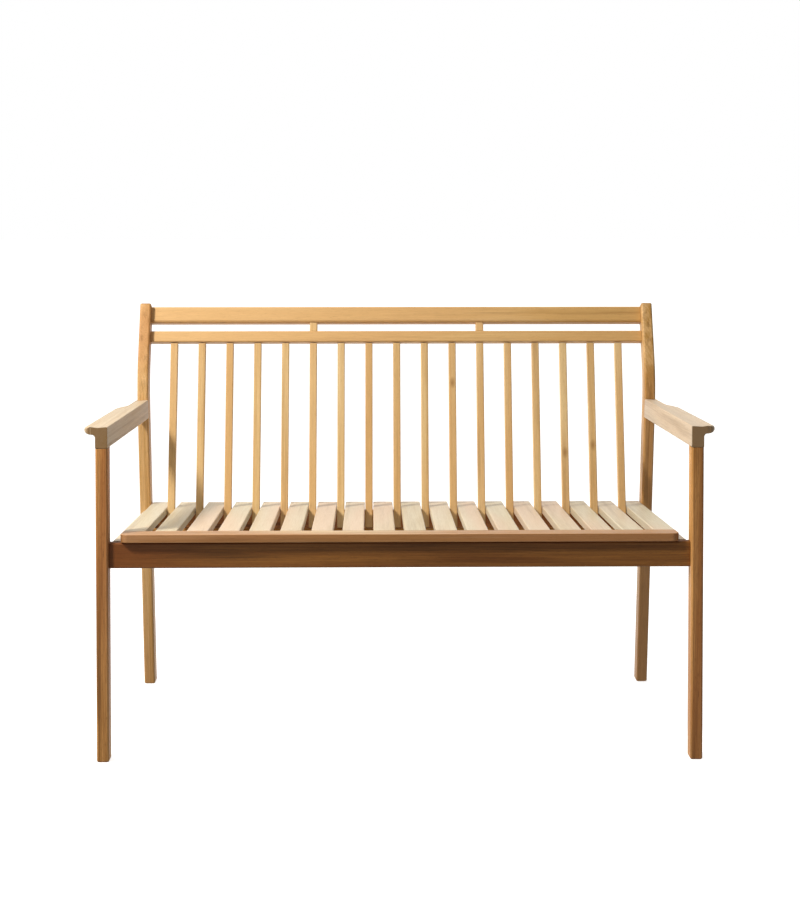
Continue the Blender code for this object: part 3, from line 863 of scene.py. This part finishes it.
def grown(name, tree, keys, values, places=None):
    """Run a tree on an object and keep its result as one plain mesh."""
    mesh = bpy.data.meshes.new(name)
    if places:
        mesh.from_pydata([place for place, facing in places], [], [])
        ways = mesh.attributes.new("facing", "FLOAT_VECTOR", "POINT")
        for item, (place, facing) in zip(ways.data, places):
            item.vector = facing
    piece = bpy.data.objects.new(name, mesh)
    bpy.context.collection.objects.link(piece)
    grower = piece.modifiers.new("grower", "NODES")
    grower.node_group = tree
    for label, value in values.items():
        grower[keys[label]] = value
    plain(piece)
    for label in ("shift", "facing"):
        if label in piece.data.attributes:
            piece.data.attributes.remove(piece.data.attributes[label])
    return smoothed(piece)


def add_knots(piece, knots):
    """Give chosen spindles a knot: {number: (part of the length up, way out from the middle)}."""
    mesh = piece.data
    layer = mesh.attributes.new("knot", "FLOAT_VECTOR", "POINT")
    per_board = len(mesh.vertices) // SPINDLES
    grain = mesh.attributes["grain"].data
    for number in range(len(mesh.vertices) // per_board):
        first = number * per_board
        span = range(first, first + per_board)
        place = Vector(FAR_OFF)
        if number in knots:
            part, out = knots[number]
            low = Vector(grain[min(span, key=lambda i: grain[i].vector.x)].vector)
            high = Vector(grain[max(span, key=lambda i: grain[i].vector.x)].vector)
            middle = sum((Vector(grain[i].vector) for i in span), Vector()) / per_board
            place = Vector((low.x + (high.x - low.x) * part, middle.y, middle.z + out))
        for i in span:
            layer.data[i].vector = place


def make_slats(tree, keys):
    low, high = extent("seat_slat_01", SEAT_AXES)
    middle = (low + high) / 2
    size = high - low
    turn = Matrix((SEAT_ALONG, Vector((-1, 0, 0)), SEAT_UP)).transposed().to_euler()
    slats = grown("seat_slats", tree, keys, {
        "Boards": SLATS, "Pitch": PITCH,
        "Half Size": Vector((size.z, size.x, size.y)) / 2,
        "Eased": SLAT_EASED, "Foot Cut": 0.0, "Head Cut": 0.0,
        "First Place": SEAT_AXES @ middle, "Turn": Vector(turn),
        "Tone Spread": 0.28, "Seed": 5, "Wood": TEAK["seat"],
    })
    knots = slats.data.attributes.new("knot", "FLOAT_VECTOR", "POINT")
    for item in knots.data:
        item.vector = FAR_OFF
    settle(slats, "teak_seat", *[f"seat_slat_{i + 1:02d}" for i in range(SLATS)])


def make_spindles(tree, keys):
    """Square spindles whose two ends are cut to the seat's slope and to the back rail's."""
    verts = [v.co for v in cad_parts["back_spindle_01"].data.vertices]
    low = min(verts, key=lambda p: p.z).z
    high = max(verts, key=lambda p: p.z).z
    foot_band, head_band = 0.006, 0.010   # heights that hold all the corners of an end
    foot = [p for p in verts if p.z < low + foot_band]
    head = [p for p in verts if p.z > high - head_band]
    foot_middle = sum(foot, Vector()) / len(foot)
    head_middle = sum(head, Vector()) / len(head)
    lean = (head_middle - foot_middle).normalized()
    back = Vector((0, lean.z, -lean.y))
    across = back.cross(lean)
    axes = Matrix((lean, across, back)).transposed()
    along = [axes.transposed() @ p for p in verts]
    size = Vector([max(p[i] for p in along) - min(p[i] for p in along) for i in range(3)])
    tilt = math.atan2(lean.y, lean.z)
    foot_cut = math.tan(tilt + SEAT_SLOPE)
    head_cut = math.tan(tilt - BACK_LEAN)
    length = (head_middle - foot_middle).length
    spindles = grown("back_spindles", tree, keys, {
        "Boards": SPINDLES, "Pitch": PITCH,
        "Half Size": Vector((length, size.y, SPINDLE_SIDE)) / 2,
        "Eased": SPINDLE_EASED, "Foot Cut": foot_cut, "Head Cut": head_cut,
        "First Place": (foot_middle + head_middle) / 2, "Turn": Vector(axes.to_euler()),
        "Tone Spread": 0.22, "Seed": 3, "Wood": TEAK["back"],
    })
    near_front = -0.006
    add_knots(spindles, {10: (0.78, near_front), 14: (0.40, near_front), 15: (0.44, near_front)})
    settle(spindles, "teak_back", *[f"back_spindle_{i + 1:02d}" for i in range(SPINDLES)])


# ---- bolts and screws -----------------------------------------------------------------------

def turned_heads():
    """Screw and bolt heads on given places, each with a rim, a driving recess and a shank."""
    tree, keys = tree_with_inputs("turned_heads", (
        ("Head Radius", "Float"), ("Head Height", "Float"), ("Rim", "Float"),
        ("Recess Radius", "Float"), ("Recess Depth", "Float"), ("Recess Corners", "Float"),
        ("Corner Sharpness", "Float"), ("Shank Radius", "Float"), ("Shank Length", "Float"),
        ("Metal", "Material"),
    ))
    add = partial(node, tree)
    given = add("NodeGroupInput").outputs
    # Height of the head below its rim, and how far the rim and the recess draw in its top.
    sizes = {}
    for label, operation, first, second in (
            ("below rim", "SUBTRACT", given["Head Height"], given["Rim"]),
            ("rim share", "DIVIDE", given["Rim"], given["Head Radius"]),
            ("recess share", "DIVIDE", given["Recess Radius"], given["Head Radius"]),
            ("half shank", "MULTIPLY", given["Shank Length"], 0.5),
            ("inwards", "MULTIPLY", given["Recess Depth"], -1.0)):
        sizes[label] = add("ShaderNodeMath", {0: first, 1: second}, out=0, operation=operation)
    middle = add("ShaderNodeMath", {0: sizes["below rim"], 1: -0.5}, out=0, operation="MULTIPLY")
    middle = add("ShaderNodeMath", {0: middle, 1: given["Rim"]}, out=0, operation="SUBTRACT")
    rim_scale = add("ShaderNodeMath", {0: 1.0, 1: sizes["rim share"]}, out=0,
                    operation="SUBTRACT")
    recess_scale = add("ShaderNodeMath", {0: sizes["recess share"], 1: rim_scale}, out=0,
                       operation="DIVIDE")

    def pushed(mesh, top, distance, scale):
        """Push the top face out, then draw it in."""
        step = add("GeometryNodeExtrudeMesh",
                   {"Mesh": mesh, "Selection": top, "Offset Scale": distance,
                    "Individual": False})
        drawn = add("GeometryNodeScaleElements",
                    {"Geometry": step.outputs["Mesh"], "Selection": step.outputs["Top"],
                     "Scale": scale}, out=0)
        return drawn, step.outputs["Top"]

    head = add("GeometryNodeMeshCylinder",
               {"Vertices": 24, "Radius": given["Head Radius"], "Depth": sizes["below rim"]},
               fill_type="NGON")
    sunk = add("ShaderNodeCombineXYZ", {2: middle}, out=0)
    mesh = add("GeometryNodeTransform",
               {"Geometry": head.outputs["Mesh"], "Translation": sunk}, out=0)
    mesh, top = pushed(mesh, head.outputs["Top"], given["Rim"], rim_scale)
    mesh, top = pushed(mesh, top, 0.0, recess_scale)
    # The recess's outline swells into its corners.
    position = add("GeometryNodeInputPosition", out="Position")
    axis = add("ShaderNodeSeparateXYZ", {0: position}).outputs
    angle = add("ShaderNodeMath", {0: axis["Y"], 1: axis["X"]}, out=0, operation="ARCTAN2")
    angle = add("ShaderNodeMath", {0: angle, 1: given["Recess Corners"]}, out=0,
                operation="MULTIPLY")
    wave = add("ShaderNodeMath", {0: angle}, out=0, operation="COSINE")
    swell = add("ShaderNodeMath", {0: wave, 1: given["Corner Sharpness"]}, out=0,
                operation="MULTIPLY")
    outward = add("ShaderNodeVectorMath", {0: position, 1: (1.0, 1.0, 0.0)}, out="Vector",
                  operation="MULTIPLY")
    offset = add("ShaderNodeVectorMath", {0: outward, "Scale": swell}, out="Vector",
                 operation="SCALE")
    mesh = add("GeometryNodeSetPosition",
               {"Geometry": mesh, "Selection": top, "Offset": offset}, out=0)
    mesh, top = pushed(mesh, top, sizes["inwards"], 0.85)
    shank = add("GeometryNodeMeshCylinder",
                {"Vertices": 16, "Radius": given["Shank Radius"],
                 "Depth": given["Shank Length"]}, out="Mesh", fill_type="NGON")
    drop = add("ShaderNodeMath", {0: given["Head Height"], 1: sizes["half shank"]}, out=0,
               operation="ADD")
    drop = add("ShaderNodeMath", {0: drop, 1: -1.0}, out=0, operation="MULTIPLY")
    down = add("ShaderNodeCombineXYZ", {2: drop}, out=0)
    shank = add("GeometryNodeTransform", {"Geometry": shank, "Translation": down}, out=0)
    joined = add("GeometryNodeJoinGeometry")
    for part in (mesh, shank):
        tree.links.new(part, joined.inputs[0])
    facing = add("GeometryNodeInputNamedAttribute", {"Name": "facing"}, out=0,
                 data_type="FLOAT_VECTOR")
    turn = add("FunctionNodeAlignRotationToVector", {"Vector": facing}, out=0, axis="Z")
    copies = add("GeometryNodeInstanceOnPoints",
                 {"Points": given["Geometry"], "Instance": joined.outputs[0],
                  "Rotation": turn}, out=0)
    solid = add("GeometryNodeRealizeInstances", {"Geometry": copies}, out=0)
    metal = add("GeometryNodeSetMaterial",
                {"Geometry": solid, "Material": given["Metal"]}, out=0)
    add("NodeGroupOutput", {"Geometry": metal})
    return tree, keys


def make_fixings():
    tree, keys = turned_heads()
    names = ["front_bolt_left", "front_bolt_right", "rear_bolt_left", "rear_bolt_right"]
    places = []
    for name in names:
        low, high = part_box(name)
        middle = (low + high) / 2
        left = name.endswith("left")
        places.append(((low.x if left else high.x, middle.y, middle.z),
                       (-1.0 if left else 1.0, 0.0, 0.0)))
    bolts = grown("frame_bolts", tree, keys, {
        "Head Radius": 0.0065, "Head Height": 0.004, "Rim": 0.0007,
        "Recess Radius": 0.0030, "Recess Depth": 0.0024, "Recess Corners": 6.0,
        "Corner Sharpness": 0.09, "Shank Radius": 0.0035, "Shank Length": 0.048,
        "Metal": STEEL}, places)
    settle(bolts, "stainless_steel", *names)

    # Countersunk screws, driven up through the bearers into the slats and spindles.
    places = []
    down = -SEAT_UP
    proud, off_end = 0.0002, 0.008
    for name, count in (("seat_front_bearer", SLATS), ("seat_middle_bearer", SLATS),
                        ("seat_rear_rail", SLATS), ("spindle_rail", SPINDLES)):
        low, high = extent(name, SEAT_AXES)
        for i in range(count):
            x = (i - (count - 1) / 2) * PITCH
            if abs(x) < high.x - off_end:
                spot = SEAT_AXES @ Vector((x, low.y - proud, (low.z + high.z) / 2))
                places.append((spot, down))
    screws = grown("seat_screws", tree, keys, {
        "Head Radius": 0.0040, "Head Height": 0.0016, "Rim": 0.0003,
        "Recess Radius": 0.0019, "Recess Depth": 0.0010, "Recess Corners": 4.0,
        "Corner Sharpness": 0.35, "Shank Radius": 0.0020, "Shank Length": 0.030,
        "Metal": STEEL}, places)
    settle(screws, "stainless_steel")


# ---- build ----------------------------------------------------------------------------------

make_camera()
make_floor()
make_light()
make_straight_boards()
make_strip()
for hand, label in ((-1, "left"), (1, "right")):
    make_back_post(hand, label)
    make_arm(hand, label)
rows, row_keys = row_of_boards()
make_slats(rows, row_keys)
make_spindles(rows, row_keys)
make_fixings()
